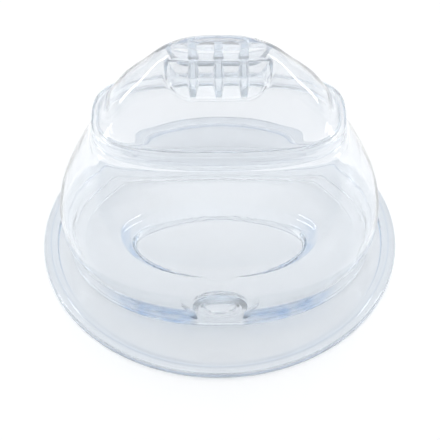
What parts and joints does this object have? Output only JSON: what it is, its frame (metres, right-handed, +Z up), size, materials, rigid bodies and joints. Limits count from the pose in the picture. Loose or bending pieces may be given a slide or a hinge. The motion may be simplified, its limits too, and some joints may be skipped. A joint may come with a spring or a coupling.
{
  "type": "humidity dome tray",
  "caption": "Clear plastic humidity dome on a round rimmed saucer tray, with an oval bulging dome, a lift-off vent hood with a ribbed pinch grip and a round port plug.",
  "frame": {"origin": "centre of the tray's underside, on the surface it stands on", "axes": "+Z up, +X along the dome's long side, -Y towards the front with the oval panel and the port"},
  "size_m": [0.2, 0.2, 0.1426],
  "materials": {
    "tray_plastic": "clear polished thermoformed plastic, faint blue edge tint",
    "dome_plastic": "clear polished moulded plastic, faint blue edge tint",
    "hood_plastic": "clear polished moulded plastic, faint blue edge tint",
    "plug_plastic": "clear polished moulded plastic with raised rings"
  },
  "bodies": {
    "tray": {"base_tray": "tray_plastic"},
    "dome": {"dome_shell": "dome_plastic"},
    "hood": {"vent_hood": "hood_plastic"},
    "plug": {"port_plug": "plug_plastic"}
  },
  "joints": [
    {"name": "dome_lift", "type": "slide", "parent": "tray", "child": "dome", "axis": [0, 0, 1], "range_m": [0, 0.12]},
    {"name": "hood_lift", "type": "slide", "parent": "dome", "child": "hood", "axis": [0, 0, 1], "range_m": [0, 0.06]},
    {"name": "plug_pull", "type": "slide", "parent": "dome", "child": "plug", "axis": [0, -0.9659, -0.2588], "range_m": [0, 0.03]}
  ]
}
